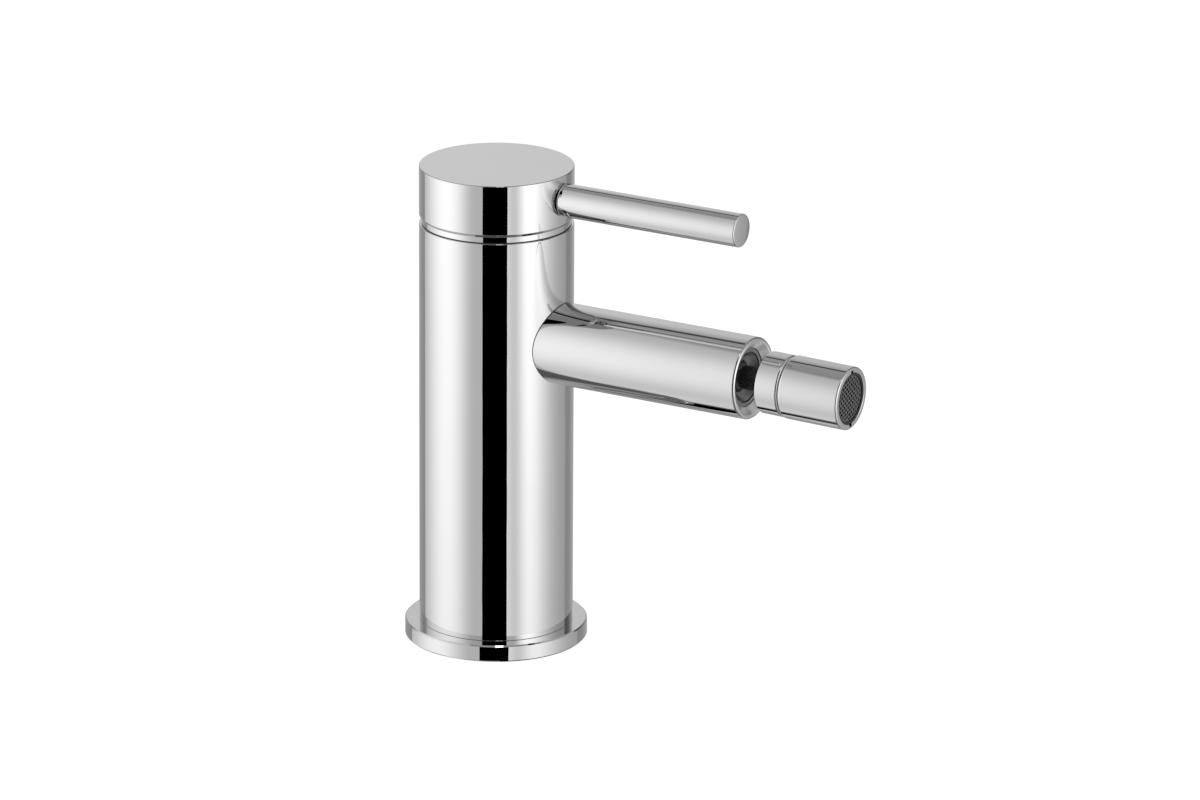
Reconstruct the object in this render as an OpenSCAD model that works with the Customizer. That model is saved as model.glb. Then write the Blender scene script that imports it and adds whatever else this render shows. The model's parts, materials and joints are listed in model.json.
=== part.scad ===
// Single-lever bidet mixer: turned body on a base ring, brazed spout, ball-jointed nozzle, pin lever.
// The deck is z = 0, the body's axis is +Z and the spout points along +X.

/* [Body] */
// Outer diameter of the body tube and of the cap above it
body_d = 47; // [46:0.5:60]
// Wall of the body tube
body_wall = 3; // [2.5:0.25:3.5]
// Round on the edges of the body's rim and of the cap
edge_round = 0.4; // [0.2:0.05:0.8]
// Round on the body's foot and the neck ring's foot
seam_round = 0.2; // [0.1:0.05:0.4]

/* [Base] */
// How far the base ring stands out past the body
base_lip = 4.4; // [3:0.1:12]
// Height of the base ring
base_h = 5.2; // [4:0.1:10]
// Bevel on the edges of the base ring
base_bevel = 0.4; // [0.1:0.05:1]
// Width of the rubber ring under the base
gasket_w = 2.2; // [1.5:0.1:4]
// Height of the rubber ring under the base
gasket_h = 2; // [1:0.1:3]
// How far the foot block stands clear of the deck
foot_clear = 0.6; // [0.2:0.1:2]

/* [Supply] */
// Bore of the two threaded inlets
inlet_d = 9; // [8.2:0.1:9.8]
// Length of the inlet threads
inlet_l = 9; // [6:0.5:15]
// Bore of the threaded hole for the fixing stud
stud_d = 6.8; // [5:0.1:8.5]
// Depth of the hole for the fixing stud
stud_l = 13; // [8:0.5:15]
// Distance of the fixing stud from the body's axis
stud_x = 11.5; // [9:0.5:15]
// Outer diameter of the riser pipes
riser_d = 10; // [10:0.25:12]
// Wall of the riser pipes
riser_wall = 1; // [0.8:0.1:2]
// Depth of the sockets that hold the riser pipes
riser_seat = 6; // [3:0.5:10]
// Lip that each riser pipe stands on
riser_lip = 0.5; // [0.3:0.1:3]

/* [Spout] */
// Outer diameter of the spout
spout_d = 25; // [23:0.5:34]
// Height of the spout's axis above the deck
spout_z = 96.7; // [60:0.1:180]
// Distance from the body's axis to the spout's mouth
spout_reach = 89.4; // [75:0.1:160]
// Bore of the spout's waterway
spout_bore = 12; // [8:0.5:13]
// Diameter of the spigot that the spout is brazed by
spigot_d = 16; // [15:0.5:20]
// How far the spigot reaches past the inside of the body tube
spigot_l = 6; // [3:0.5:7]
// Bore of the spout's mouth
mouth_d = 18.1; // [17:0.1:20]
// Round on the outer edge of the mouth
mouth_round = 0.9; // [0.3:0.1:1]
// Width of the rim between the spout's side and the flare in its mouth
mouth_rim = 1.1; // [1:0.1:2]
// Depth of the flare in the mouth
mouth_flare = 2.3; // [0.5:0.1:3]

/* [Valve block] */
// Wall of the valve block round the nut
block_wall = 1.5; // [1:0.25:2]
// Metal under the spout's socket
block_skirt = 4.7; // [3:0.1:12]
// Metal between the spout's socket and the cartridge
block_roof = 1.5; // [1:0.1:10]
// Diameter of the water ports
port_d = 6; // [4:0.25:6.5]
// Angle between the spout's direction and each inlet port
inlet_angle = 130; // [120:1:140]

/* [Cartridge] */
// Step from the nut's thread in to the cartridge
nut_step = 1.3; // [0.8:0.1:2]
// Height of the nut
nut_h = 5.9; // [4:0.1:10]
// Width of the spanner slots in the nut
nut_slot_w = 3; // [2:0.25:5]
// Depth of the spanner slots in the nut
nut_slot_depth = 2; // [1:0.25:3]
// Wall of the cartridge housing
housing_wall = 1.7; // [1:0.1:2]
// Height of the roof over the cartridge
housing_roof = 2; // [1.5:0.1:4]
// Diameter of the housing's neck round the spindle
tower_d = 15; // [13:0.5:18]
// Thickness of the cartridge's base
cart_base_t = 5; // [4:0.1:8]
// Step from the cartridge's base in to its discs
disc_step = 2.5; // [2:0.1:3]
// Thickness of each ceramic disc
disc_t = 3; // [2.5:0.1:5]
// Metal or ceramic left round each port
port_land = 1.3; // [1:0.1:2]
// Depth of the mixing hollow under the moving disc
mixing_depth = 1.6; // [1:0.1:1.8]
// Thickness of the disc carrier
carrier_t = 3; // [3:0.1:6]
// Diameter of the carrier's driving pins
carrier_pin_d = 2.4; // [1.5:0.1:3]
// Length of the carrier's driving pins
carrier_pin_l = 1; // [0.6:0.1:1.2]
// Diameter of the spindle
spindle_d = 9; // [9:0.25:10.5]
// Diameter of the spindle's flange
spindle_flange_d = 13; // [12:0.5:18]
// Thickness of the spindle's flange
spindle_flange_t = 2; // [1.5:0.1:4]
// Width of the spindle's square ends
drive_w = 6; // [5:0.1:6.3]
// Section of the rubber seals
seal_t = 1.4; // [1:0.1:1.5]

/* [Neck] */
// How far the neck ring lies in from the body's side
neck_inset = 2.2; // [2:0.1:2.4]
// Wall of the neck ring
neck_wall = 1.4; // [1:0.1:3]
// How deep the neck ring sits in the body
neck_seat = 1; // [1:0.1:4]
// How far the neck ring rises inside the cap
neck_rise = 1.6; // [1:0.1:2.5]
// How far the neck ring's bead lies in from the body's side
bead_inset = 0.75; // [0.5:0.05:1.5]
// Bevel on the bead's upper edge
bead_bevel = 0.35; // [0.1:0.05:0.6]
// Seam between the body's rim and the bead
bead_seam = 0.25; // [0.1:0.05:0.4]

/* [Lever] */
// Height of the cap
cap_h = 15.5; // [15:0.1:25]
// Open gap between the body's rim and the cap
cap_gap = 2.55; // [1.75:0.05:4]
// Thickness of the cap's top
cap_top_t = 4; // [2.5:0.25:4.5]
// Diameter of the cap's hub
hub_d = 18; // [16:0.5:24]
// Width of the web that takes the lever rod
web_w = 12; // [10:0.5:18]
// Diameter of the lever rod
rod_d = 10.2; // [9:0.1:13]
// Height of the rod's axis above the cap's lower edge
rod_rise = 8; // [7:0.1:8.5]
// Distance from the body's axis to the rod's tip
rod_reach = 84.7; // [50:0.1:140]
// Gap between the rod and the cap
rod_gap = 0.1; // [0.1:0.1:2]
// Diameter of the rod's neck
rod_neck_d = 7.6; // [6.5:0.1:8.2]
// Depth of the seat of the rod's neck in the cap
rod_seat = 1.2; // [0.8:0.1:2]
// Diameter of the rod's threaded end
rod_thread_d = 6; // [5:0.25:6.25]
// Round at the rod's root
rod_round = 0.7; // [0.3:0.1:1.2]
// Bevel at the rod's tip
rod_bevel = 0.35; // [0.1:0.05:1]
// Length of the grub screw
grub_l = 6; // [4:0.5:8]
// Width across flats of the grub screw's hexagon socket
grub_key = 2.5; // [2:0.1:3]

/* [Nozzle] */
// Outer diameter of the nozzle sleeve
nozzle_d = 19.2; // [18.6:0.1:21]
// How far the collar lies in from the sleeve's side
collar_inset = 0.2; // [0:0.05:0.6]
// Length of the collar
collar_l = 7.6; // [6:0.1:12]
// Thickness of the collar's rear wall
collar_wall = 3; // [2:0.1:4]
// Length of the collar's threaded spigot
thread_l = 5.6; // [4:0.1:8]
// Length of the sleeve
sleeve_l = 19.9; // [17:0.1:30]
// Wall of the sleeve at its thread
sleeve_wall = 1.3; // [1.2:0.05:1.6]
// Width of the groove between collar and sleeve
groove_w = 0.6; // [0.4:0.1:1.2]
// Depth of the groove between collar and sleeve
groove_depth = 0.8; // [0.5:0.1:1.2]
// Gap between the spout's mouth and the nozzle
nozzle_gap = 4.8; // [4.5:0.1:10]
// How far the nozzle points down at rest, in degrees
nozzle_droop = 1.05; // [0:0.05:4]
// Round on the nozzle's edges
nozzle_round = 0.6; // [0.2:0.05:0.7]
// Bevel on the inner edge of the sleeve's rim
rim_bevel = 0.1; // [0.05:0.05:0.3]
// Width of the two key notches in the rim
notch_w = 1.4; // [1:0.1:2.5]
// Depth of the two key notches in the rim
notch_depth = 0.9; // [0.5:0.1:1]

/* [Ball joint] */
// Diameter of the ball
ball_d = 12; // [11.5:0.1:12.6]
// How far the ball's centre lies behind the spout's mouth
ball_back = 8.4; // [7.5:0.1:10]
// Largest tilt of the nozzle to each side, in degrees
tilt_max = 15; // [8:0.5:17]
// Diameter of the ball's stem
stem_d = 7.2; // [6.4:0.1:7.4]
// Bore of the ball's stem
stem_bore = 4.8; // [3:0.1:5]
// Diameter of the stem's shoulder
shoulder_d = 10; // [9.5:0.1:11]
// Length of the stem's shoulder
shoulder_l = 2; // [1:0.1:2.2]
// Diameter of the stem's threaded end
tail_d = 8.8; // [8:0.1:9.4]
// Free angle between the tilted stem and the retaining ring's lip
lip_margin = 2; // [1:0.5:5]
// How much wider than the tilt the retaining ring flares, in degrees
flare_extra = 30; // [20:1:33]
// Wall behind the ball
seat_wall = 1.2; // [0.8:0.1:3]
// How far the retaining ring lies below the mouth's flare
retainer_inset = 0.1; // [0.1:0.1:0.5]

/* [Aerator] */
// Step that holds the aerator behind the sleeve's rim
rim_step = 0.45; // [0.3:0.05:0.6]
// Thickness of the aerator's flange
flange_t = 2.5; // [2:0.1:4]
// Wall of the aerator housing
shell_wall = 1.25; // [1:0.05:1.6]
// Step that seats the aerator's discs
disc_seat = 0.4; // [0.3:0.05:0.6]
// How far the housing lies inside the sleeve's end
shell_inset = 0.15; // [0.1:0.05:1]
// How far the screen lies inside the housing
screen_inset = 0.4; // [0.3:0.1:2]
// Thickness of the screen
screen_t = 0.8; // [0.5:0.1:2]
// Pitch of the screen's six-sided cells
screen_pitch = 1.4; // [1.2:0.05:2]
// Width of the bars between the cells
screen_bar = 0.3; // [0.25:0.05:0.5]
// Turn of the rows of cells
screen_turn = 47; // [0:1:59]
// Thickness of the flow disc
flow_disc_t = 1.6; // [1:0.1:2.5]
// Diameter of the holes in the flow disc
flow_hole_d = 1.2; // [0.8:0.1:1.5]
// Diameter of the ring of holes in the flow disc
flow_ring_d = 8; // [6:0.5:9]
// Number of holes in the flow disc
flow_holes = 12; // [6:1:16]

/* [Fits] */
// Radial clearance of pieces that are brazed, screwed or clipped together
slip_fit = 0.05; // [0.02:0.01:0.1]
// Radial clearance of pieces that turn in a bore
running_fit = 0.08; // [0.04:0.01:0.1]
// Radial clearance of the ball in its seat
ball_fit = 0.1; // [0.05:0.01:0.2]
// Free space between moving pieces
free_gap = 0.3; // [0.2:0.05:0.5]
// Free space between the neck ring and the cap's skirt
skirt_gap = 0.6; // [0.4:0.1:0.8]

/* [Hidden] */
$fn = 96;

// Extra length that carries a cut right through
over = 1;

// Diameters, from the body's outside inwards
base_d = body_d + 2 * base_lip;
body_bore = body_d - 2 * body_wall;
nut_d = body_bore - 2 * block_wall;
cart_d = nut_d - 2 * nut_step;
cart_base_d = cart_d - 2 * housing_wall;
disc_d = cart_base_d - 2 * disc_step;
neck_d = body_d - 2 * neck_inset;
bead_d = body_d - 2 * bead_inset;
cap_bore = neck_d + 2 * skirt_gap;
gasket_mid_d = (base_d + body_bore) / 2;
riser_bore = riser_d - 2 * riser_wall;

// Water ports on one ring: the outlet ahead, the inlets to either side behind
port_ring = disc_d / 2 - port_d / 2 - port_land;
seal_pocket_d = port_d + 2 * seal_t;
inlets = [for (side = [-1, 1]) [port_ring * cos(inlet_angle), side * port_ring * sin(inlet_angle)]];
outlet = [port_ring, 0];
ports = concat(inlets, [outlet]);
carrier_pins = [for (side = [-1, 1]) [0, side * port_ring]];

// Heights, from the deck upwards
riser_z0 = foot_clear + inlet_l + riser_lip;
foot_z1 = riser_z0 + riser_seat;
block_z0 = spout_z - spigot_d / 2 - block_skirt;
riser_z1 = block_z0 + riser_seat;
cart_z0 = spout_z + spigot_d / 2 + block_roof;
fixed_z0 = cart_z0 + cart_base_t;
moving_z0 = fixed_z0 + disc_t;
carrier_z0 = moving_z0 + disc_t;
spindle_z0 = carrier_z0 + carrier_t;
spindle_z1 = spindle_z0 + spindle_flange_t;
nut_z0 = spindle_z1 + free_gap + housing_roof;
nut_z1 = nut_z0 + nut_h;
body_h = nut_z1 + neck_seat;
cap_z0 = body_h + cap_gap;
cap_z1 = cap_z0 + cap_h;
cap_roof = cap_z1 - cap_top_t;
neck_z1 = cap_z0 + neck_rise;
bead_z0 = body_h + bead_seam;
bead_z1 = cap_z0 - free_gap;
hub_z0 = neck_z1 + skirt_gap;
spindle_top = cap_roof - free_gap;
spindle_seal_z = nut_z0 + nut_h / 2;

// Lever rod, along +X
rod_z = cap_z0 + rod_rise;
rod_x0 = body_d / 2 + rod_gap;
rod_seat_x = body_d / 2 - rod_seat;
grub_x0 = drive_w / 2 + slip_fit;
grub_x1 = grub_x0 + grub_l;
rod_thread_x0 = grub_x1 + free_gap;

// Spout and ball joint, along +X
spigot_x0 = body_bore / 2 - spigot_l;
ball_x = spout_reach - ball_back;
ball_r = ball_d / 2;
socket_r = ball_r + ball_fit;
seat_x0 = ball_x - socket_r - seat_wall;
mouth_x0 = seat_x0 - free_gap - seal_t;
lip_angle = asin(stem_d / ball_d) + tilt_max + lip_margin;
lip_r = socket_r * sin(lip_angle);
lip_u = socket_r * cos(lip_angle);
flare_angle = tilt_max + flare_extra;
retainer_u1 = ball_back - mouth_flare - retainer_inset;
mouth_flare_d = spout_d - 2 * mouth_rim;
mouth_flare_slope = (mouth_flare_d - mouth_d) / 2 / mouth_flare;
seat_seal_d = mouth_d - seal_t - 2 * slip_fit;

// Nozzle, along its own axis from the ball's centre
collar_u0 = ball_back + nozzle_gap;
collar_u1 = collar_u0 + collar_l;
thread_u1 = collar_u1 + thread_l;
sleeve_u0 = collar_u1 + groove_w;
sleeve_u1 = sleeve_u0 + sleeve_l;
shell_u0 = thread_u1 + seal_t;
step_u = shell_u0 + flange_t;
shell_u1 = sleeve_u1 - shell_inset;
screen_u0 = shell_u1 - screen_inset - screen_t;
collar_d = nozzle_d - 2 * collar_inset;
sleeve_bore = nozzle_d - 2 * sleeve_wall;
thread_d = sleeve_bore - 2 * slip_fit;
rim_bore = sleeve_bore - 2 * rim_step;
shell_d = rim_bore - 2 * slip_fit;
shell_bore = shell_d - 2 * shell_wall;
screen_d = shell_bore + 2 * disc_seat;
cell_d = (screen_pitch - screen_bar) / cos(30);
gasket_bore = thread_d + 2 * slip_fit;

// Helper shapes

// Straight cylinder from one height to another
module bar(d, z0, z1) {
  translate([0, 0, z0])
    cylinder(d = d, h = z1 - z0);
}

// Plain ring from one height to another
module ring(d, bore, z0, z1) {
  difference() {
    bar(d, z0, z1);
    bar(bore, z0 - over, z1 + over);
  }
}

// Turned bar with bevelled lower and upper edges
module bevelled_bar(d, z0, z1, low, high) {
  r = d / 2;
  rotate_extrude()
    polygon([[0, z0], [r - low, z0], [r, z0 + low], [r, z1 - high], [r - high, z1], [0, z1]]);
}

// Turned bar with rounded lower and upper edges
module rounded_bar(d, z0, z1, low, high) {
  r = d / 2;
  rotate_extrude() {
    translate([0, z0 + low])
      square([r, z1 - z0 - low - high]);
    translate([0, z0])
      square([r - low, z1 - z0 - high]);
    translate([0, z0 + low])
      square([r - high, z1 - z0 - low]);
    translate([r - low, z0 + low])
      circle(r = low);
    translate([r - high, z1 - high])
      circle(r = high);
  }
}

// Rubber ring of round section, with its middle at height z
module seal_ring(mid_d, section, z) {
  translate([0, 0, z])
    rotate_extrude()
      translate([mid_d / 2, 0])
        circle(d = section, $fn = 48);
}

// Square bar from one height to another
module square_bar(w, z0, z1) {
  translate([-w / 2, -w / 2, z0])
    cube([w, w, z1 - z0]);
}

// Puts the children at each point of a list
module at_each(points) {
  for (p = points)
    translate([p[0], p[1], 0])
      children();
}

// Lays an upright shape along the spout
module along_spout() {
  translate([0, 0, spout_z])
    rotate([0, 90, 0])
      children();
}

// Lays an upright shape along the lever rod
module along_rod() {
  translate([0, 0, rod_z])
    rotate([0, 90, 0])
      children();
}

// Lays an upright shape along the nozzle, measured from the ball's centre
module along_nozzle() {
  translate([ball_x, 0, spout_z])
    rotate([0, 90 + nozzle_droop, 0])
      children();
}

// Base and supply

module base_ring() {
  color("gainsboro")
    difference() {
      bevelled_bar(base_d, 0, base_h, base_bevel, base_bevel);
      bar(body_bore + 2 * slip_fit, -over, base_h + over);
      ring(gasket_mid_d + gasket_w, gasket_mid_d - gasket_w, -over, gasket_h);
    }
}

module base_gasket() {
  color("dimgray")
    ring(gasket_mid_d + gasket_w - 2 * slip_fit, gasket_mid_d - gasket_w + 2 * slip_fit, 0, gasket_h);
}

module foot_block() {
  color("goldenrod")
    difference() {
      bar(body_bore, foot_clear, foot_z1);
      at_each(inlets) {
        bar(inlet_d, foot_clear - over, foot_clear + inlet_l);
        bar(riser_bore, foot_clear, foot_z1);
        bar(riser_d + 2 * slip_fit, riser_z0, foot_z1 + over);
      }
      translate([stud_x, 0, 0])
        bar(stud_d, foot_clear - over, foot_clear + stud_l);
    }
}

module riser(place) {
  color("peru")
    at_each([place])
      ring(riser_d, riser_bore, riser_z0, riser_z1);
}

module hot_riser() {
  riser(inlets[0]);
}

module cold_riser() {
  riser(inlets[1]);
}

// Body

module body_tube() {
  color("silver")
    difference() {
      rounded_bar(body_d, base_h, body_h, seam_round, edge_round);
      bar(body_bore, base_h - over, body_h + over);
      bar(neck_d + 2 * slip_fit, body_h - neck_seat, body_h + over);
      along_spout()
        bar(spigot_d + 2 * slip_fit, 0, body_d);
    }
}

module valve_block() {
  color("goldenrod")
    difference() {
      bar(body_bore, block_z0, nut_z1);
      bar(cart_d + 2 * slip_fit, cart_z0, nut_z1 + over);
      bar(nut_d, nut_z0, nut_z1 + over);
      at_each(inlets) {
        bar(riser_d + 2 * slip_fit, block_z0 - over, riser_z1);
        bar(port_d, block_z0, cart_z0 + over);
      }
      at_each([outlet])
        bar(port_d, spout_z, cart_z0 + over);
      along_spout() {
        bar(spout_bore, port_ring - port_d / 2, body_d);
        bar(spigot_d + 2 * slip_fit, spigot_x0 - seal_t, body_d);
      }
    }
}

// Spout

module spout_tube() {
  color("silver")
    difference() {
      union() {
        difference() {
          along_spout()
            rounded_bar(spout_d, 0, spout_reach, mouth_round, mouth_round);
          bar(body_d, spout_z - spout_d, spout_z + spout_d);
        }
        along_spout()
          bar(spigot_d, spigot_x0, body_d);
      }
      along_spout() {
        bar(spout_bore, spigot_x0 - over, mouth_x0 + over);
        bar(mouth_d, mouth_x0, spout_reach + over);
        translate([0, 0, spout_reach - mouth_flare])
          cylinder(d1 = mouth_d, d2 = mouth_flare_d + 2 * over * mouth_flare_slope, h = mouth_flare + over);
      }
    }
}

module spout_seal() {
  color("black")
    along_spout()
      seal_ring((spigot_d + spout_bore) / 2, seal_t, spigot_x0 - seal_t / 2);
}

// Cartridge

module cartridge_base() {
  color("ivory")
    difference() {
      bar(cart_base_d, cart_z0, fixed_z0);
      at_each(ports) {
        bar(port_d, cart_z0 - over, fixed_z0 + over);
        bar(seal_pocket_d, cart_z0 - over, cart_z0 + seal_t);
        bar(seal_pocket_d, fixed_z0 - seal_t, fixed_z0 + over);
      }
    }
}

module base_seals() {
  color("black")
    at_each(ports)
      seal_ring(port_d + seal_t, seal_t, cart_z0 + seal_t / 2);
}

module disc_seals() {
  color("black")
    at_each(ports)
      seal_ring(port_d + seal_t, seal_t, fixed_z0 - seal_t / 2);
}

module fixed_disc() {
  color("white")
    difference() {
      bar(disc_d, fixed_z0, moving_z0);
      at_each(ports)
        bar(port_d, fixed_z0 - over, moving_z0 + over);
    }
}

module moving_disc() {
  color("white")
    difference() {
      bar(disc_d, moving_z0, carrier_z0);
      intersection() {
        bar(disc_d - 2 * port_land, moving_z0 - over, moving_z0 + mixing_depth);
        translate([0, -disc_d / 2, moving_z0 - over])
          cube([disc_d, disc_d, mixing_depth + over]);
      }
      at_each(carrier_pins)
        bar(carrier_pin_d + 2 * slip_fit, carrier_z0 - carrier_pin_l - slip_fit, carrier_z0 + over);
    }
}

module disc_carrier() {
  color("ivory")
    difference() {
      union() {
        bar(disc_d, carrier_z0, spindle_z0);
        at_each(carrier_pins)
          bar(carrier_pin_d, carrier_z0 - carrier_pin_l, spindle_z0);
      }
      square_bar(drive_w + 2 * slip_fit, carrier_z0 - over, spindle_z0 + over);
    }
}

module spindle() {
  color("goldenrod")
    difference() {
      union() {
        square_bar(drive_w, carrier_z0, spindle_top);
        bar(spindle_flange_d, spindle_z0, spindle_z1);
        bar(spindle_d, spindle_z0, nut_z1);
      }
      translate([0, 0, spindle_seal_z])
        ring(spindle_d + 2 * over, spindle_d - 2 * seal_t, -seal_t / 2, seal_t / 2);
    }
}

module spindle_seal() {
  color("black")
    seal_ring(spindle_d - seal_t, seal_t, spindle_seal_z);
}

module cartridge_housing() {
  color("ivory")
    difference() {
      union() {
        bar(cart_d, cart_z0, nut_z0);
        bar(tower_d, cart_z0, nut_z1);
      }
      bar(cart_base_d + 2 * slip_fit, cart_z0 - over, fixed_z0);
      bar(disc_d + 2 * free_gap, cart_z0, spindle_z0 + free_gap);
      bar(spindle_flange_d + 2 * free_gap, cart_z0, spindle_z1 + free_gap);
      bar(spindle_d + 2 * running_fit, cart_z0, nut_z1 + over);
    }
}

module cartridge_nut() {
  color("goldenrod")
    difference() {
      ring(nut_d, tower_d + 2 * free_gap, nut_z0, nut_z1);
      for (turn = [0, 90])
        rotate([0, 0, turn])
          translate([-body_d / 2, -nut_slot_w / 2, nut_z1 - nut_slot_depth])
            cube([body_d, nut_slot_w, nut_slot_depth + over]);
    }
}

module neck_ring() {
  color("silver")
    difference() {
      union() {
        rounded_bar(neck_d, nut_z1, neck_z1, seam_round, edge_round);
        bevelled_bar(bead_d, bead_z0, bead_z1, seam_round, bead_bevel);
      }
      bar(neck_d - 2 * neck_wall, nut_z1 - over, neck_z1 - neck_wall);
      bar(hub_d, nut_z1, neck_z1 + over);
    }
}

// Lever

module handle_cap() {
  color("silver")
    difference() {
      rounded_bar(body_d, cap_z0, cap_z1, edge_round, edge_round);
      difference() {
        bar(cap_bore, cap_z0 - over, cap_roof);
        bar(hub_d, hub_z0, cap_z1);
        translate([0, -web_w / 2, hub_z0])
          cube([body_d / 2, web_w, cap_h]);
      }
      square_bar(drive_w + 2 * slip_fit, hub_z0 - over, cap_roof);
      along_rod() {
        bar(rod_thread_d + 2 * slip_fit, 0, body_d);
        bar(rod_neck_d + 2 * slip_fit, rod_seat_x, body_d);
      }
    }
}

module lever_rod() {
  color("silver")
    along_rod() {
      rotate_extrude() {
        translate([0, rod_x0])
          square([rod_d / 2 - rod_round, rod_round + over]);
        translate([0, rod_x0 + rod_round])
          polygon([[0, 0], [rod_d / 2, 0], [rod_d / 2, rod_reach - rod_x0 - rod_round - rod_bevel],
            [rod_d / 2 - rod_bevel, rod_reach - rod_x0 - rod_round], [0, rod_reach - rod_x0 - rod_round]]);
        translate([rod_d / 2 - rod_round, rod_x0 + rod_round])
          circle(r = rod_round);
      }
      bar(rod_neck_d, rod_seat_x, rod_x0 + over);
      bar(rod_thread_d, rod_thread_x0, rod_seat_x + over);
    }
}

module grub_screw() {
  color("dimgray")
    along_rod()
      difference() {
        bar(rod_thread_d, grub_x0, grub_x1);
        translate([0, 0, grub_x1 - grub_key])
          cylinder(d = grub_key / cos(30), h = grub_key + over, $fn = 6);
      }
}

// Ball joint

module seat_seal() {
  color("black")
    along_spout()
      seal_ring(seat_seal_d, seal_t, mouth_x0 + seal_t / 2);
}

module ball_seat() {
  color("white")
    along_spout()
      difference() {
        bar(mouth_d - 2 * running_fit, seat_x0, ball_x - free_gap);
        bar(stem_d, seat_x0 - over, ball_x);
        translate([0, 0, ball_x])
          sphere(r = socket_r);
      }
}

module ball_retainer() {
  color("dimgray")
    along_spout()
      translate([0, 0, ball_x])
        difference() {
          bar(mouth_d - 2 * slip_fit, 0, retainer_u1);
          sphere(r = socket_r);
          translate([0, 0, lip_u - over])
            cylinder(
              r1 = lip_r - over * tan(flare_angle),
              r2 = lip_r + (retainer_u1 + over - lip_u) * tan(flare_angle),
              h = retainer_u1 + 2 * over - lip_u
            );
        }
}

module swivel_ball() {
  color("dimgray")
    along_nozzle()
      difference() {
        union() {
          sphere(r = ball_r);
          bar(stem_d, 0, collar_u0);
          bar(shoulder_d, collar_u0 - shoulder_l, collar_u0);
          bar(tail_d, collar_u0 - shoulder_l, collar_u0 + collar_wall);
        }
        bar(stem_bore, -ball_d, collar_u0 + collar_wall + over);
      }
}

// Nozzle

module nozzle_collar() {
  color("silver")
    along_nozzle()
      difference() {
        union() {
          rounded_bar(collar_d, collar_u0, collar_u1, nozzle_round, nozzle_round);
          bar(thread_d, collar_u0 + nozzle_round, thread_u1);
        }
        bar(tail_d + 2 * slip_fit, collar_u0 - over, thread_u1);
        bar(shell_bore, collar_u0 + collar_wall, thread_u1 + over);
      }
}

module nozzle_gasket() {
  color("black")
    along_nozzle()
      ring(nozzle_d - 2 * groove_depth, gasket_bore, collar_u1, sleeve_u0);
}

module nozzle_sleeve() {
  color("silver")
    along_nozzle()
      difference() {
        rounded_bar(nozzle_d, sleeve_u0, sleeve_u1, nozzle_round, nozzle_round);
        bar(sleeve_bore, sleeve_u0 - over, step_u);
        bar(rim_bore, sleeve_u0, sleeve_u1 + over);
        translate([0, 0, sleeve_u1 - rim_bevel])
          cylinder(d1 = rim_bore, d2 = rim_bore + 2 * (rim_bevel + over), h = rim_bevel + over);
        translate([-rim_bore / 2 - notch_depth, -notch_w / 2, sleeve_u1 - notch_w])
          cube([rim_bore + 2 * notch_depth, notch_w, notch_w + over]);
      }
}

// Aerator

module aerator_seal() {
  color("black")
    along_nozzle()
      ring(thread_d, shell_bore, thread_u1, shell_u0);
}

module aerator_housing() {
  color("black")
    along_nozzle()
      difference() {
        union() {
          bar(thread_d, shell_u0, step_u);
          bar(shell_d, shell_u0, shell_u1);
        }
        bar(shell_bore, shell_u0 - over, shell_u1 + over);
        bar(screen_d + 2 * slip_fit, shell_u0 - over, shell_u0 + flow_disc_t);
        bar(screen_d + 2 * slip_fit, screen_u0, shell_u1 + over);
      }
}

module flow_disc() {
  color("lightgray")
    along_nozzle()
      difference() {
        bar(screen_d, shell_u0, shell_u0 + flow_disc_t);
        for (i = [1 : flow_holes])
          rotate([0, 0, i * 360 / flow_holes])
            translate([flow_ring_d / 2, 0, 0])
              bar(flow_hole_d, shell_u0 - over, shell_u0 + flow_disc_t + over);
      }
}

module aerator_screen() {
  row_step = screen_pitch * sin(60);
  rows = ceil(screen_d / row_step / 2);
  color("gray")
    along_nozzle()
      translate([0, 0, screen_u0])
        linear_extrude(screen_t)
          difference() {
            circle(d = screen_d);
            intersection() {
              circle(d = screen_d - 2 * screen_bar);
              rotate(screen_turn)
                for (row = [-rows : rows], i = [-rows : rows])
                  translate([(i + abs(row % 2) / 2) * screen_pitch, row * row_step])
                    rotate(30)
                      circle(d = cell_d, $fn = 6);
            }
          }
}

base_ring();
base_gasket();
foot_block();
cold_riser();
hot_riser();
body_tube();
valve_block();
spout_tube();
spout_seal();
cartridge_base();
base_seals();
disc_seals();
fixed_disc();
moving_disc();
disc_carrier();
spindle();
spindle_seal();
cartridge_housing();
cartridge_nut();
neck_ring();
handle_cap();
lever_rod();
grub_screw();
seat_seal();
ball_seat();
ball_retainer();
swivel_ball();
nozzle_collar();
nozzle_gasket();
nozzle_sleeve();
aerator_seal();
aerator_housing();
flow_disc();
aerator_screen();
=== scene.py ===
# Bidet mixer in polished chrome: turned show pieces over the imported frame, finishes and a soft studio.
import json
import math

import bmesh
import bpy
from mathutils import Matrix, Vector


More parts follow.
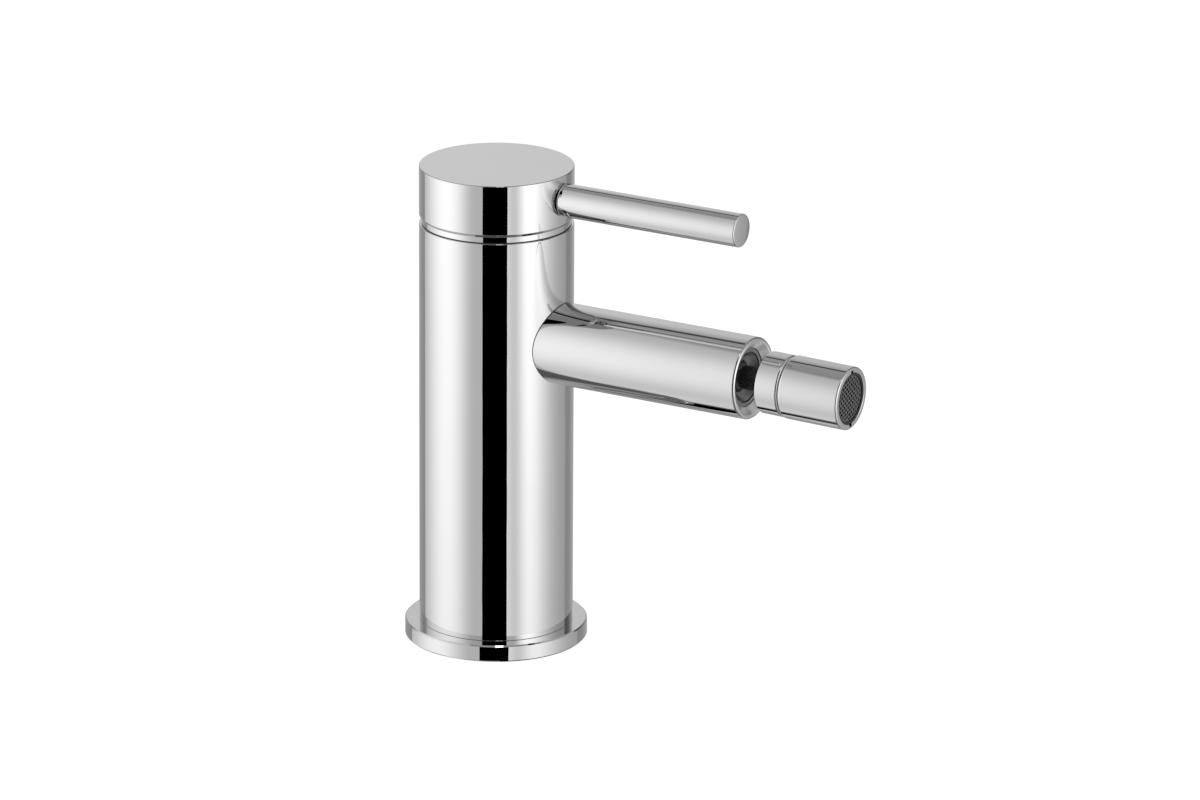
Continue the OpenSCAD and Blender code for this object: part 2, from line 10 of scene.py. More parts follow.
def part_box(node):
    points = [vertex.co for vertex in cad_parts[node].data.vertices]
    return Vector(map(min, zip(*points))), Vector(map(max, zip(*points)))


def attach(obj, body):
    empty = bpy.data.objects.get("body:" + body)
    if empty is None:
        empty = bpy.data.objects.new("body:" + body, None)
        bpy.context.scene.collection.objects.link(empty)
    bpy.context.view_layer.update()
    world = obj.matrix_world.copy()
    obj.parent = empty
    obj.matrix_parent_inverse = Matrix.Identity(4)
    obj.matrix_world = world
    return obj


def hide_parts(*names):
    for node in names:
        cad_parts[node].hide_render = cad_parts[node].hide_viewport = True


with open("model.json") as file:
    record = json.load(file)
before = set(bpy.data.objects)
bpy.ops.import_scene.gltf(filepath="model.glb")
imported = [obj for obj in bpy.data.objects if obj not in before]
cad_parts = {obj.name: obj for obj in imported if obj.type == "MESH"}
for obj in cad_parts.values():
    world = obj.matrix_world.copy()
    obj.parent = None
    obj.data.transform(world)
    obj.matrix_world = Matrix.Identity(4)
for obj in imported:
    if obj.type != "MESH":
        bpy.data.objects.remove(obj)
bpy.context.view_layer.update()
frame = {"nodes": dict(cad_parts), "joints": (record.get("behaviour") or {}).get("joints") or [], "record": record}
nodes = frame["nodes"]
joints = {joint["name"]: joint for joint in frame["joints"]}
MM = 0.001
NEAR = 0.002 * MM
SLOT_OF = {part["node"]: part["material_slot"] for part in frame["record"]["subparts"]}

# Camera, as fitted to the photograph's 1200 x 800 frame
IMAGE_W = 1200
FOCAL_PX = 7854.5
SENSOR_W = 36.0
VIEW_AZIMUTH = math.radians(30.022)
VIEW_ELEVATION = math.radians(18.309)
VIEW_ROLL = math.radians(0.335)
VIEW_DISTANCE = 2388.9 * MM
AIM_RIGHT = 31.50 * MM
AIM_HEIGHT = 74.68 * MM
CLIP_END = 50.0


def make_camera():
    back = Vector((
        math.sin(VIEW_AZIMUTH) * math.cos(VIEW_ELEVATION),
        -math.cos(VIEW_AZIMUTH) * math.cos(VIEW_ELEVATION),
        math.sin(VIEW_ELEVATION),
    ))
    level = Vector((math.cos(VIEW_AZIMUTH), math.sin(VIEW_AZIMUTH), 0))
    rise = back.cross(level)
    right = math.cos(VIEW_ROLL) * level + math.sin(VIEW_ROLL) * rise
    up = math.cos(VIEW_ROLL) * rise - math.sin(VIEW_ROLL) * level
    eye = AIM_RIGHT * right + Vector((0, 0, AIM_HEIGHT)) + VIEW_DISTANCE * back
    camera = bpy.data.objects.new("camera", bpy.data.cameras.new("camera"))
    camera.data.sensor_width = SENSOR_W
    camera.data.lens = FOCAL_PX / IMAGE_W * SENSOR_W
    camera.data.clip_end = CLIP_END
    camera.matrix_world = Matrix((
        (right.x, up.x, back.x, eye.x),
        (right.y, up.y, back.y, eye.y),
        (right.z, up.z, back.z, eye.z),
        (0, 0, 0, 1),
    ))
    bpy.context.scene.collection.objects.link(camera)
    bpy.context.scene.camera = camera


# Node helpers
def add_node(tree, kind, **settings):
    node = tree.nodes.new(kind)
    for key, value in settings.items():
        setattr(node, key, value)
    return node


def math_node(tree, operation, first, second=None):
    """A calculation with one or two numbers or sockets."""
    node = add_node(tree, "ShaderNodeMath", operation=operation)
    for socket, value in zip(node.inputs, (first, second)):
        if value is None:
            continue
        if isinstance(value, (int, float)):
            socket.default_value = value
        else:
            tree.links.new(value, socket)
    return node.outputs[0]


def spread(tree, mask, low, high):
    """Turns a mask from 0 to 1 into values from low to high."""
    node = add_node(tree, "ShaderNodeMapRange")
    node.inputs["To Min"].default_value = low
    node.inputs["To Max"].default_value = high
    tree.links.new(mask, node.inputs["Value"])
    return node.outputs[0]


def tint(tree, mask, dark, light):
    """Turns a mask from 0 to 1 into colours from dark to light."""
    node = add_node(tree, "ShaderNodeMix", data_type="RGBA")
    node.inputs["A"].default_value = (*dark, 1)
    node.inputs["B"].default_value = (*light, 1)
    tree.links.new(mask, node.inputs["Factor"])
    return node.outputs["Result"]


def new_group(name, inputs, outputs):
    """A shader group with value sockets, its two ends, and the object's own coordinates."""
    group = bpy.data.node_groups.new(name, "ShaderNodeTree")
    for label, value in inputs.items():
        socket = group.interface.new_socket(name=label, in_out="INPUT", socket_type="NodeSocketFloat")
        socket.default_value = value
    for label in outputs:
        group.interface.new_socket(name=label, in_out="OUTPUT", socket_type="NodeSocketFloat")
    start = group.nodes.new("NodeGroupInput")
    end = group.nodes.new("NodeGroupOutput")
    place = add_node(group, "ShaderNodeTexCoord")
    return group, start, end, place.outputs["Object"]


def noise(tree, place, scale, detail):
    node = add_node(tree, "ShaderNodeTexNoise")
    node.inputs["Detail"].default_value = detail
    tree.links.new(place, node.inputs["Vector"])
    tree.links.new(scale, node.inputs["Scale"])
    return node.outputs["Fac"]


def make_smudge():
    """Broad cloudy drift and fine polish haze, as masks from 0 to 1."""
    scales = {"Drift Scale": 40, "Haze Scale": 900}
    group, start, end, place = new_group("smudge", scales, ("Drift", "Haze"))
    for label, detail in (("Drift", 2), ("Haze", 4)):
        cloud = noise(group, place, start.outputs[label + " Scale"], detail)
        group.links.new(cloud, end.inputs[label])
    return group


def make_grain():
    """Moulded or matt grain: a mask for colour and roughness, and a height for bumps."""
    group, start, end, place = new_group("grain", {"Scale": 1500}, ("Mask", "Height"))
    fine = noise(group, place, start.outputs["Scale"], 3)
    coarse = noise(group, place, math_node(group, "DIVIDE", start.outputs["Scale"], 12), 2)
    group.links.new(coarse, end.inputs["Mask"])
    group.links.new(fine, end.inputs["Height"])
    return group


def make_turning():
    """Fine rings left by the lathe tool round the body's axis, as a mask and a height."""
    group, start, end, place = new_group("turning", {"Scale": 700}, ("Mask", "Height"))
    rings = add_node(group, "ShaderNodeTexWave", wave_type="RINGS", rings_direction="Z")
    rings.inputs["Distortion"].default_value = 1.5
    rings.inputs["Detail"].default_value = 2
    group.links.new(place, rings.inputs["Vector"])
    group.links.new(start.outputs["Scale"], rings.inputs["Scale"])
    blotch = noise(group, place, math_node(group, "DIVIDE", start.outputs["Scale"], 8), 3)
    group.links.new(blotch, end.inputs["Mask"])
    group.links.new(rings.outputs["Fac"], end.inputs["Height"])
    return group


def new_finish(name):
    finish = bpy.data.materials.new(name)
    finish.use_nodes = True
    return finish, finish.node_tree, finish.node_tree.nodes["Principled BSDF"]


def bump(tree, shader, height, strength, depth):
    node = add_node(tree, "ShaderNodeBump")
    node.inputs["Strength"].default_value = strength
    node.inputs["Distance"].default_value = depth
    tree.links.new(height, node.inputs["Height"])
    tree.links.new(node.outputs["Normal"], shader.inputs["Normal"])


SATIN = "satin"
SATIN_COLOUR = (0.93, 0.93, 0.93)
SATIN_ROUGHNESS = 0.3
SMUDGE = make_smudge()
GRAIN = make_grain()
TURNING = make_turning()


def metal_finish(name, dark, light, smooth, hazy, wave=0):
    """Bare or plated metal that mirrors its surroundings, with a faint drift in tone and polish.

    Faces marked with the satin attribute are left paler and duller."""
    finish, tree, shader = new_finish(name)
    marks = add_node(tree, "ShaderNodeGroup", node_tree=SMUDGE)
    satin = add_node(tree, "ShaderNodeAttribute", attribute_name=SATIN).outputs["Fac"]
    bright = add_node(tree, "ShaderNodeMix", data_type="RGBA")
    bright.inputs["B"].default_value = (*SATIN_COLOUR, 1)
    tree.links.new(satin, bright.inputs["Factor"])
    tree.links.new(tint(tree, marks.outputs["Drift"], dark, light), bright.inputs["A"])
    tree.links.new(bright.outputs["Result"], shader.inputs["Base Color"])
    polish = spread(tree, marks.outputs["Haze"], smooth, hazy)
    dull = math_node(tree, "MULTIPLY", satin, SATIN_ROUGHNESS)
    tree.links.new(math_node(tree, "MAXIMUM", polish, dull), shader.inputs["Roughness"])
    shader.inputs["Metallic"].default_value = 1
    if wave:
        bump(tree, shader, marks.outputs["Drift"], strength=1, depth=wave)
    return finish


def turned_finish(name, dark, light, smooth, hazy, depth):
    """Machined metal that keeps the tool's rings."""
    finish, tree, shader = new_finish(name)
    marks = add_node(tree, "ShaderNodeGroup", node_tree=TURNING)
    tree.links.new(tint(tree, marks.outputs["Mask"], dark, light), shader.inputs["Base Color"])
    tree.links.new(spread(tree, marks.outputs["Mask"], smooth, hazy), shader.inputs["Roughness"])
    bump(tree, shader, marks.outputs["Height"], strength=0.4, depth=depth)
    shader.inputs["Metallic"].default_value = 1
    return finish


def moulded_finish(name, dark, light, smooth, hazy, depth):
    """Plastic, rubber or ceramic with a fine grain."""
    finish, tree, shader = new_finish(name)
    marks = add_node(tree, "ShaderNodeGroup", node_tree=GRAIN)
    tree.links.new(tint(tree, marks.outputs["Mask"], dark, light), shader.inputs["Base Color"])
    tree.links.new(spread(tree, marks.outputs["Mask"], smooth, hazy), shader.inputs["Roughness"])
    bump(tree, shader, marks.outputs["Height"], strength=0.5, depth=depth)
    return finish


def grey(value):
    return (value, value, value)


FINISHES = {
    "polished_chrome": metal_finish(
        "polished_chrome", dark=grey(0.67), light=grey(0.69), smooth=0.004, hazy=0.012, wave=0.08 * MM
    ),
    "brass": turned_finish(
        "brass", dark=(0.62, 0.45, 0.20), light=(0.78, 0.61, 0.32), smooth=0.22, hazy=0.38, depth=0.02 * MM
    ),
    "copper": metal_finish("copper", dark=(0.62, 0.32, 0.20), light=(0.78, 0.47, 0.32), smooth=0.2, hazy=0.4),
    "black_rubber": moulded_finish(
        "black_rubber", dark=grey(0.018), light=grey(0.032), smooth=0.55, hazy=0.75, depth=0.02 * MM
    ),
    "white_acetal": moulded_finish(
        "white_acetal", dark=(0.80, 0.79, 0.74), light=(0.87, 0.86, 0.81),
        smooth=0.3, hazy=0.42, depth=0.01 * MM,
    ),
    "ceramic": moulded_finish(
        "ceramic", dark=(0.85, 0.84, 0.80), light=(0.91, 0.90, 0.87), smooth=0.15, hazy=0.24, depth=0.005 * MM
    ),
    "white_ptfe": moulded_finish(
        "white_ptfe", dark=grey(0.86), light=grey(0.92), smooth=0.4, hazy=0.55, depth=0.01 * MM
    ),
    "dark_grey_ring": metal_finish(
        "dark_grey_ring", dark=grey(0.24), light=grey(0.3), smooth=0.34, hazy=0.42
    ),
    "black_acetal": moulded_finish(
        "black_acetal", dark=grey(0.018), light=grey(0.03), smooth=0.1, hazy=0.18, depth=0.002 * MM
    ),
    "black_plastic": moulded_finish(
        "black_plastic", dark=grey(0.008), light=grey(0.018), smooth=0.35, hazy=0.5, depth=0.01 * MM
    ),
    "grey_plastic": moulded_finish(
        "grey_plastic", dark=grey(0.13), light=grey(0.19), smooth=0.3, hazy=0.42, depth=0.01 * MM
    ),
    "steel": metal_finish("steel", dark=grey(0.3), light=grey(0.42), smooth=0.2, hazy=0.35),
}


def dress_nodes():
    """Gives every CAD node the finish of its slot."""
    for name, node in nodes.items():
        node.data.materials.clear()
        node.data.materials.append(FINISHES[SLOT_OF[name]])


# Sizes read from the frame, and the few that it doesn't show
def low_of(node):
    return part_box(node)[0]


def high_of(node):
    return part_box(node)[1]


FIT = 0.05 * MM
# Clearance for the black rings that paint shade into the neck and saddle seams
SHADE_RING_FIT = 0.02 * MM
BASE_R = high_of("base_ring").y
BASE_TOP = high_of("base_ring").z
BASE_BEVEL = 0.4 * MM
BODY_R = high_of("body_tube").y
BODY_TOP = high_of("body_tube").z
BODY_FOOT_ROUND = 0.2 * MM
RIM_ROUND = 0.4 * MM
BODY_BORE_R = high_of("foot_block").y
GASKET_R = high_of("base_gasket").y
GASKET_TOP = high_of("base_gasket").z
GASKET_W = 2.2 * MM
NECK_R = BODY_R - 2.2 * MM
NECK_LOW = low_of("neck_ring").z
NECK_TOP = high_of("neck_ring").z
NECK_WALL = 1.4 * MM
NECK_ROUND = 0.2 * MM
BEAD_R = high_of("neck_ring").y
BEAD_LOW = BODY_TOP + 0.25 * MM
BEAD_BEVEL = 0.35 * MM
CAP_LOW = low_of("handle_cap").z
BEAD_TOP = CAP_LOW - 0.3 * MM
CAP_TOP = high_of("handle_cap").z
CAP_R = high_of("handle_cap").y
CAP_SKIRT_GAP = 0.6 * MM
CAP_ROOF = CAP_TOP - 4 * MM
HUB_R = 9 * MM
HUB_LOW = NECK_TOP + CAP_SKIRT_GAP
WEB_W = 12 * MM
DRIVE_W = 6.1 * MM
ROD_R = (high_of("lever_rod").z - low_of("lever_rod").z) / 2
ROD_Z = (high_of("lever_rod").z + low_of("lever_rod").z) / 2
ROD_TIP = high_of("lever_rod").x
ROD_END = low_of("lever_rod").x
ROD_ROOT = BODY_R + 0.1 * MM
ROD_ROOT_ROUND = 0.7 * MM
ROD_TIP_ROUND = 0.35 * MM
ROD_DOME_R = 35 * MM
ROD_CROWN = 0.2 * MM
ROD_CROWN_END = 0.02
ROD_SEAT = BODY_R - 1.2 * MM
ROD_NECK_R = 3.8 * MM
ROD_THREAD_R = 3 * MM
SPOUT_R = high_of("spout_tube").y
SPOUT_Z = (high_of("spout_tube").z + low_of("spout_tube").z) / 2
SPOUT_MOUTH = high_of("spout_tube").x
SPIGOT_END = low_of("spout_tube").x
SPIGOT_R = 8 * MM
WATERWAY_R = 6 * MM
MOUTH_R = 9.05 * MM
MOUTH_ROUND = 0.9 * MM
FLARE_ROUND = 0.37 * MM
FLARE_R = SPOUT_R - MOUTH_ROUND - FLARE_ROUND - 0.01 * MM
FLARE_LOW = SPOUT_MOUTH - 2.2 * MM
FLARE_FACING = 0.3
MOUTH_FLOOR = low_of("seat_seal").x
SADDLE_SEAM = 0.25 * MM
SADDLE_W = 0.9 * MM
BALL_CENTRE = Vector(joints["nozzle_tilt"]["pos_m"])
NOZZLE_DROOP = -math.radians(sum(joints["nozzle_tilt"]["range_deg"]) / 2)

# Along the spout from the ball's centre
CLAMP_R = MOUTH_R - FIT
CLAMP_FRONT = 6.0 * MM
SOCKET_R = 6.1 * MM
LIP_ANGLE = math.radians(53.87)
BOWL_R = 7.3 * MM
BOWL_BRIM = CLAMP_FRONT - 0.1 * MM
BOWL_SAG = 0.3 * MM
BOWL_STEPS = 8
CLAMP_GROOVE_R = BOWL_R + 0.45 * MM
CLAMP_GROOVE_FLOOR = CLAMP_FRONT - 0.8 * MM
CLAMP_ROUND = 0.15 * MM

# Along the nozzle from the ball's centre
BALL_R = 6 * MM
STEM_R = 3.6 * MM
STEM_BORE_R = 2.4 * MM
SHOULDER_R = 5 * MM
SHOULDER_START = 11.2 * MM
SHOULDER_ROUND = 0.3 * MM
TAIL_R = 4.4 * MM
COLLAR_R = high_of("nozzle_collar").y
COLLAR_START = 13.2 * MM
COLLAR_FLOOR = 16.2 * MM
COLLAR_END = 21.0 * MM
THREAD_R = 8.25 * MM
THREAD_END = 26.4 * MM
SLEEVE_R = high_of("nozzle_sleeve").y
SLEEVE_START = 21.2 * MM
SLEEVE_END = 41.3 * MM
SLEEVE_BORE_R = 8.3 * MM
SLEEVE_STEP = 30.3 * MM
RIM_R = 7.85 * MM
RIM_BEVEL = 0.1 * MM
NOZZLE_ROUND = 0.6 * MM
GROOVE_ROUND = 0.8 * MM
NOTCH_W = 1.4 * MM
NOTCH_DEPTH = 0.9 * MM
CAGE_START = 27.8 * MM
CAGE_END = 41.15 * MM
CAGE_R = RIM_R - FIT
CAGE_BORE_R = 6.55 * MM
CAGE_ROUND = 0.2 * MM
CAGE_LIP_ROUND = 0.15 * MM
DISC_POCKET_R = 7.0 * MM
DISC_POCKET_END = 29.4 * MM
SCREEN_R = high_of("aerator_screen").y
SCREEN_T = 0.8 * MM
SCREEN_SEAT = 39.95 * MM
SCREEN_MID = SCREEN_SEAT + SCREEN_T / 2
SCREEN_ROUND = 0.1 * MM
WEB_T = 0.25 * MM
CELL_PITCH = 1.4 * MM
CELL_BAR = 0.3 * MM
CELL_EDGE = 0.06 * MM
CELL_TURN = math.radians(47)

FINE_SIDES = 256
SMALL_SIDES = 160
SMOOTH_ANGLE = math.radians(32)

# Where an upright turned piece is laid: local z becomes the axis named here
UPRIGHT = Matrix.Identity(4)
LEVER_AXIS = Matrix.Translation((0, 0, ROD_Z)) @ Matrix.Rotation(math.pi / 2, 4, "Y")
SPOUT_AXIS = Matrix.Translation((0, 0, SPOUT_Z)) @ Matrix.Rotation(math.pi / 2, 4, "Y")
BALL_AXIS = Matrix.Translation(BALL_CENTRE) @ Matrix.Rotation(math.pi / 2, 4, "Y")
NOZZLE_AXIS = Matrix.Translation(BALL_CENTRE) @ Matrix.Rotation(math.pi / 2 + NOZZLE_DROOP, 4, "Y")


# Turning: a bar is started, its ends are drawn through steps, its edges are rounded
def start_bar(name, radius, low, high, sides):
    bpy.ops.object.select_all(action="DESELECT")
    bpy.ops.mesh.primitive_cylinder_add(
        vertices=sides, radius=radius, depth=high - low, location=(0, 0, (low + high) / 2)
    )
    bar = bpy.context.active_object
    bar.name = name
    bar.data.name = name
    bpy.ops.object.transform_apply(location=True, rotation=True, scale=True)
    bpy.ops.object.mode_set(mode="EDIT")
    bpy.ops.mesh.select_mode(type="FACE")
    bpy.ops.mesh.select_all(action="DESELECT")
    return bar


def pick_end(bar, upper):
    """Selects the bar's upper or lower end face."""
    bpy.ops.mesh.select_mode(type="FACE")
    bpy.ops.mesh.select_all(action="DESELECT")
    mesh = bmesh.from_edit_mesh(bar.data)
    ends = [face for face in mesh.faces if len(face.verts) > 4]
    ends.sort(key=lambda face: face.normal.z)
    ends[-1 if upper else 0].select_set(True)
    bmesh.update_edit_mesh(bar.data)


def draw_end(bar, upper, steps):
    """Extrudes an end face through steps of (height, radius), outwards or back into the bar."""
    pick_end(bar, upper)
    for height, radius in steps:
        spot = next(v.co for v in bmesh.from_edit_mesh(bar.data).verts if v.select)
        grow = radius / math.hypot(spot.x, spot.y)
        rise = height - spot.z
        bpy.ops.mesh.extrude_region_move()
        bpy.ops.transform.resize(value=(grow, grow, 1), center_override=(0, 0, 0))
        bpy.ops.transform.translate(value=(0, 0, rise))


def open_bore(bar):
    """Joins the two drawn ends, so that the bore runs right through."""
    bpy.ops.mesh.select_mode(type="FACE")
    bpy.ops.mesh.select_all(action="DESELECT")
    mesh = bmesh.from_edit_mesh(bar.data)
    for face in mesh.faces:
        face.select_set(len(face.verts) > 4)
    bmesh.update_edit_mesh(bar.data)
    bpy.ops.mesh.delete(type="ONLY_FACE")
    bpy.ops.mesh.select_mode(type="EDGE")
    bpy.ops.mesh.select_all(action="DESELECT")
    bpy.ops.mesh.select_non_manifold()
    bpy.ops.mesh.bridge_edge_loops()


def round_edge(bar, height, radius, size, segments):
    """Rounds the edge that runs round the bar at that height and radius."""
    bpy.ops.mesh.select_mode(type="EDGE")
    bpy.ops.mesh.select_all(action="DESELECT")
    mesh = bmesh.from_edit_mesh(bar.data)
    for edge in mesh.edges:
        edge.select_set(all(
            abs(v.co.z - height) < NEAR and abs(math.hypot(v.co.x, v.co.y) - radius) < NEAR
            for v in edge.verts
        ))
    bmesh.update_edit_mesh(bar.data)
    bpy.ops.mesh.bevel(offset=size, segments=segments, profile=0.5, affect="EDGES")


def turn(
    name, radius, low, high, above=(), below=(), rounds=(), through=True, axis=UPRIGHT, sides=FINE_SIDES
):
    """A turned piece: a bar with its ends drawn through steps and its edges rounded, laid along its axis."""
    bar = start_bar(name, radius, low, high, sides)
    draw_end(bar, True, above)
    draw_end(bar, False, below)
    if through:
        open_bore(bar)
    for height, edge_r, size, segments in rounds:
        round_edge(bar, height, edge_r, size, segments)
    bpy.ops.mesh.select_all(action="SELECT")
    bpy.ops.mesh.normals_make_consistent(inside=False)
    bpy.ops.object.mode_set(mode="OBJECT")
    bar.matrix_world = axis
    bpy.ops.object.transform_apply(location=True, rotation=True, scale=True)
    return bar


def make_block(name, low, high, axis=UPRIGHT):
    """A plain block between two corners, used up as a cutting or joining tool."""
    bpy.ops.object.select_all(action="DESELECT")
    size = Vector(high) - Vector(low)
    bpy.ops.mesh.primitive_cube_add(size=1, location=(Vector(low) + Vector(high)) / 2, scale=size)
    block = bpy.context.active_object
    block.name = name
    bpy.ops.object.transform_apply(location=True, rotation=True, scale=True)
    block.matrix_world = axis
    bpy.ops.object.transform_apply(location=True, rotation=True, scale=True)
    return block


def make_bar(name, radius, low, high, axis, sides=FINE_SIDES):
    """A plain bar, used up as a cutting or joining tool."""
    return turn(name, radius, low, high, through=False, axis=axis, sides=sides)


def carve(piece, tool, how="DIFFERENCE"):
    """Cuts a piece with a tool, joins the tool to it, or keeps what they share, and uses the tool up."""
    step = piece.modifiers.new("carve", "BOOLEAN")
    step.operation = how
    step.solver = "EXACT"
    step.object = tool
    bpy.context.view_layer.objects.active = piece
    bpy.ops.object.modifier_apply(modifier=step.name)
    bpy.data.objects.remove(tool)


def finish_piece(piece, body, finish, node):
    """Smooths a piece, gives it its finish, and lets it ride its body and stand for its node, if any."""
    bpy.ops.object.select_all(action="DESELECT")
    piece.select_set(True)
    bpy.context.view_layer.objects.active = piece
    bpy.ops.object.shade_smooth_by_angle(angle=SMOOTH_ANGLE)
    flats = piece.modifiers.new("true_flats", "WEIGHTED_NORMAL")
    flats.keep_sharp = True
    bpy.ops.object.modifier_apply(modifier=flats.name)
    piece.data.materials.clear()
    piece.data.materials.append(FINISHES[finish])
    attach(piece, body)
    if node:
        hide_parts(node)


def sweep(centre, radius, first, last, count):
    """Steps of (height, radius) along an arc about a point on the axis, angles measured from the axis."""
    steps = []
    for i in range(count + 1):
        angle = first + (last - first) * i / count
        steps.append((centre + radius * math.cos(angle), radius * math.sin(angle)))
    return steps


# Body
def make_base_flange():
    flange = turn(
        "base_flange", BASE_R, 0, BASE_TOP,
        above=[(BASE_TOP, BODY_BORE_R + FIT)],
        below=[
            (0, GASKET_R + FIT), (GASKET_TOP, GASKET_R + FIT), (GASKET_TOP, GASKET_R - GASKET_W - FIT),
            (0, GASKET_R - GASKET_W - FIT), (0, BODY_BORE_R + FIT),
        ],
        rounds=[(0, BASE_R, BASE_BEVEL, 1), (BASE_TOP, BASE_R, BASE_BEVEL, 1)],
    )
    finish_piece(flange, "mixer", "polished_chrome", "base_ring")


def make_body_shell():
    shell = turn(
        "body_shell", BODY_R, BASE_TOP, BODY_TOP,
        above=[(BODY_TOP, NECK_R + FIT), (NECK_LOW, NECK_R + FIT), (NECK_LOW, BODY_BORE_R)],
        below=[(BASE_TOP, BODY_BORE_R)],
        rounds=[(BASE_TOP, BODY_R, BODY_FOOT_ROUND, 3), (BODY_TOP, BODY_R, RIM_ROUND, 5)],
    )
    carve(shell, make_bar("spigot_hole", SPIGOT_R + FIT, 0, 2 * BODY_R, SPOUT_AXIS))
    finish_piece(shell, "mixer", "polished_chrome", "body_tube")


def make_neck_band():
    inner = NECK_R - NECK_WALL
    ceiling = NECK_TOP - NECK_WALL
    band = turn(
        "neck_band", BEAD_R, BEAD_LOW, BEAD_TOP,
        above=[(BEAD_TOP, NECK_R), (NECK_TOP, NECK_R), (NECK_TOP, HUB_R)],
        below=[
            (BEAD_LOW, NECK_R), (NECK_LOW, NECK_R), (NECK_LOW, inner), (ceiling, inner), (ceiling, HUB_R),
        ],
        rounds=[(NECK_LOW, NECK_R, NECK_ROUND, 3), (BEAD_TOP, BEAD_R, BEAD_BEVEL, 1)],
    )
    finish_piece(band, "mixer", "polished_chrome", "neck_ring")


def make_neck_shade_ring():
    """Flat black rubber ring in the seam between the body's rim and the bead: painted shade that darkens the seam
    where the gap's shadow falls.
    """
    neck_shade = turn(
        "neck_shade_ring", BEAD_R - FIT, BODY_TOP + SHADE_RING_FIT, BEAD_LOW - SHADE_RING_FIT,
        above=[(BEAD_LOW - SHADE_RING_FIT, NECK_R + FIT)], below=[(BODY_TOP + SHADE_RING_FIT, NECK_R + FIT)],
    )
    # black rubber here is painted shade: the seam's shadow line
    finish_piece(neck_shade, "mixer", "black_rubber", None)


def make_spout_pipe():
    inside = BODY_R / 2
    pipe = turn(
        "spout_pipe", SPOUT_R, inside, SPOUT_MOUTH,
        above=[(SPOUT_MOUTH, FLARE_R), (FLARE_LOW, MOUTH_R), (MOUTH_FLOOR, MOUTH_R)],
        rounds=[(SPOUT_MOUTH, SPOUT_R, MOUTH_ROUND, 8), (SPOUT_MOUTH, FLARE_R, FLARE_ROUND, 4)],
        through=False, axis=SPOUT_AXIS,
    )
    carve(pipe, make_bar("saddle_cut", BODY_R + SADDLE_SEAM, BASE_TOP, BODY_TOP, UPRIGHT))
    carve(pipe, make_bar("spigot", SPIGOT_R, SPIGOT_END, BODY_R + SPIGOT_R, SPOUT_AXIS), "UNION")
    carve(pipe, make_bar("waterway", WATERWAY_R, 0, MOUTH_FLOOR + WATERWAY_R, SPOUT_AXIS))
    mark_flare(pipe)
    finish_piece(pipe, "mixer", "polished_chrome", "spout_tube")


def mark_flare(pipe):
    """Marks the faces of the mouth's flare, which the lathe left satin."""
    marks = pipe.data.attributes.new(SATIN, "FLOAT", "FACE")
    for face in pipe.data.polygons:
        reach = math.hypot(face.center.y, face.center.z - SPOUT_Z)
        if face.center.x > FLARE_LOW and reach < FLARE_R and face.normal.x > FLARE_FACING:
            marks.data[face.index].value = 1


def make_saddle_shade_ring():
    """Thin black rubber ring in the seam where the spout sits on the body: painted shade that makes the seam a
    dark line.
    """
    saddle_shade = turn(
        "saddle_shade_ring", SPOUT_R - 2 * FIT, BODY_R / 2, BODY_R + SPOUT_R / 2,
        above=[(BODY_R + SPOUT_R / 2, SPOUT_R - SADDLE_W)], below=[(BODY_R / 2, SPOUT_R - SADDLE_W)],
        axis=SPOUT_AXIS,
    )
    carve(saddle_shade, make_bar("inside_cut", BODY_R + SHADE_RING_FIT, BASE_TOP, BODY_TOP, UPRIGHT))
    outside = make_bar("outside_cut", BODY_R + SADDLE_SEAM - SHADE_RING_FIT, BASE_TOP, BODY_TOP, UPRIGHT)
    carve(saddle_shade, outside, "INTERSECT")
    # black rubber here is painted shade: the saddle seam's dark line
    finish_piece(saddle_shade, "mixer", "black_rubber", None)


# Lever
def make_cap_shell():
    skirt = NECK_R + CAP_SKIRT_GAP
    cap = turn(
        "cap_shell", CAP_R, CAP_LOW, CAP_TOP,
        below=[(CAP_LOW, skirt), (CAP_ROOF, skirt), (CAP_ROOF, HUB_R), (HUB_LOW, HUB_R)],
        rounds=[(CAP_LOW, CAP_R, RIM_ROUND, 5), (CAP_TOP, CAP_R, RIM_ROUND, 5)],
        through=False,
    )
    wall = (CAP_R + skirt) / 2
    web = make_block("web", (HUB_R / 2, -WEB_W / 2, HUB_LOW), (wall, WEB_W / 2, CAP_ROOF + MM))
    carve(cap, web, "UNION")
    half = DRIVE_W / 2
    carve(cap, make_block("drive", (-half, -half, CAP_LOW), (half, half, CAP_ROOF)))
    carve(cap, make_bar("rod_thread", ROD_THREAD_R + FIT, 0, 2 * CAP_R, LEVER_AXIS, SMALL_SIDES))
    carve(cap, make_bar("rod_seat", ROD_NECK_R + FIT, ROD_SEAT, 2 * CAP_R, LEVER_AXIS, SMALL_SIDES))
    finish_piece(cap, "lever", "polished_chrome", "handle_cap")


def make_lever_pin():
    dome_centre = ROD_TIP + ROD_CROWN - ROD_DOME_R
    crown = sweep(dome_centre, ROD_DOME_R, math.asin(ROD_R / ROD_DOME_R), ROD_CROWN_END, 6)
    pin = turn(
        "lever_pin", ROD_R, ROD_ROOT, crown[0][0],
        above=crown[1:],
        below=[
            (ROD_ROOT, ROD_NECK_R), (ROD_SEAT, ROD_NECK_R), (ROD_SEAT, ROD_THREAD_R), (ROD_END, ROD_THREAD_R),
        ],
        rounds=[(ROD_ROOT, ROD_R, ROD_ROOT_ROUND, 7), (crown[0][0], ROD_R, ROD_TIP_ROUND, 4)],
        through=False, axis=LEVER_AXIS, sides=SMALL_SIDES,
    )
    finish_piece(pin, "lever", "polished_chrome", "lever_rod")


